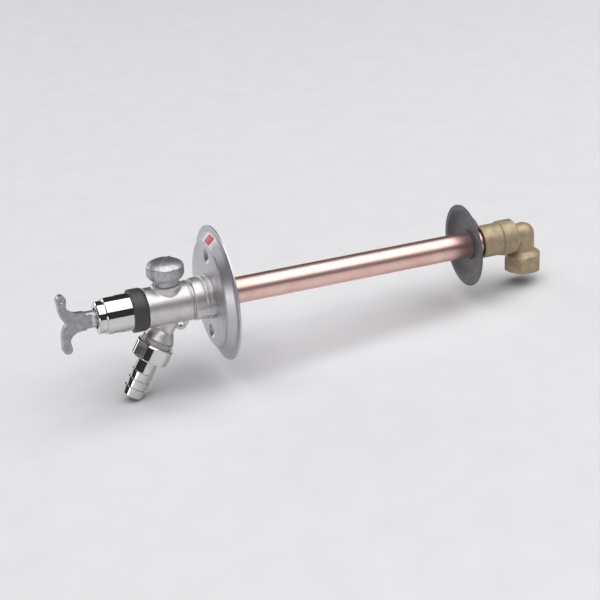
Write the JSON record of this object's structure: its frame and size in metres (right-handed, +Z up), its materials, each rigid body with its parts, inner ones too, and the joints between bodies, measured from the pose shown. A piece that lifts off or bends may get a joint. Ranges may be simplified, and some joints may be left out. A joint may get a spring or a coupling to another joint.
{
  "type": "frost-proof garden tap",
  "caption": "Key-operated frost-proof wall tap: chrome head with vacuum breaker and angled hose outlet, copper tube through the wall, brass elbow behind.",
  "frame": {"origin": "on the tube's axis in the plane of the outside wall, where the front rosette's rim rests", "axes": "+Y along the tube into the wall, +Z up, -Y towards the user"},
  "size_m": [0.112, 0.4307, 0.1359],
  "materials": {
    "chrome": "polished chrome plate",
    "satin_nickel": "blasted casting, satin nickel plate",
    "cap_metal": "satin plated die casting",
    "key_zinc": "tumbled zinc die casting",
    "stainless": "spun and polished stainless sheet",
    "dark_plastic": "moulded, lightly grained",
    "rear_grey": "soft moulded, matte",
    "copper": "drawn copper tube",
    "raw_brass": "hot-pressed, matte",
    "turned_brass": "turned",
    "steel": "drawn bar",
    "rubber": "moulded",
    "pale_plastic": "moulded",
    "foam": "closed-cell foam",
    "red_label": "printed film, blank"
  },
  "bodies": {
    "tap": {"bonnet": "chrome", "collar_ring": "dark_plastic", "stem_seal": "rubber", "thrust_washer": "pale_plastic", "rod_guide": "pale_plastic", "valve_body": "satin_nickel", "flange_nut": "satin_nickel", "breaker_cap": "cap_metal", "breaker_seat": "turned_brass", "check_cage": "pale_plastic", "check_guide": "pale_plastic", "hose_washer": "rubber", "wall_rosette": "stainless", "rosette_gasket": "foam", "rosette_label": "red_label", "copper_tube": "copper", "seat_housing": "turned_brass", "tube_seal": "rubber", "elbow": "raw_brass"},
    "spindle": {"spindle_head": "turned_brass", "drive_pin": "steel", "drive_rod": "turned_brass"},
    "key": {"key_handle": "key_zinc"},
    "valve": {"valve_carrier": "turned_brass", "seat_washer": "rubber", "washer_screw": "steel"},
    "nut": {"union_nut": "chrome"},
    "tail": {"hose_tail": "chrome"},
    "float": {"breaker_float": "pale_plastic", "float_pad": "rubber"},
    "poppet": {"check_poppet": "pale_plastic"},
    "inner_rosette": {"rear_rosette": "rear_grey"}
  },
  "joints": [
    {"name": "spindle_turn", "type": "hinge", "parent": "tap", "child": "spindle", "pos_m": [0, -0.08, 0], "axis": [0, -1, 0], "range_deg": [0, 720]},
    {"name": "key_pull", "type": "slide", "parent": "spindle", "child": "key", "axis": [0, -1, 0], "range_m": [0, 0.03]},
    {"name": "valve_lift", "type": "slide", "parent": "tap", "child": "valve", "axis": [0, -1, 0], "range_m": [0, 0.004]},
    {"name": "nut_spin", "type": "hinge", "parent": "tap", "child": "nut", "pos_m": [0, -0.0366, 0], "axis": [0, -0.509, -0.8607], "continuous": true},
    {"name": "tail_swivel", "type": "hinge", "parent": "tap", "child": "tail", "pos_m": [0, -0.0366, 0], "axis": [0, -0.509, -0.8607], "continuous": true},
    {"name": "float_lift", "type": "slide", "parent": "tap", "child": "float", "axis": [0, 0, 1], "range_m": [0, 0.004]},
    {"name": "poppet_open", "type": "slide", "parent": "tap", "child": "poppet", "axis": [0, -0.509, -0.8607], "range_m": [0, 0.0025], "stiffness_N_per_m": 60, "springref_m": -0.004},
    {"name": "inner_rosette_slide", "type": "slide", "parent": "tap", "child": "inner_rosette", "axis": [0, -1, 0], "range_m": [0, 0.2]}
  ],
  "couplings": [
    {"joint": "valve_lift", "follows": "spindle_turn", "m_per_rad": 0.00031831}
  ]
}
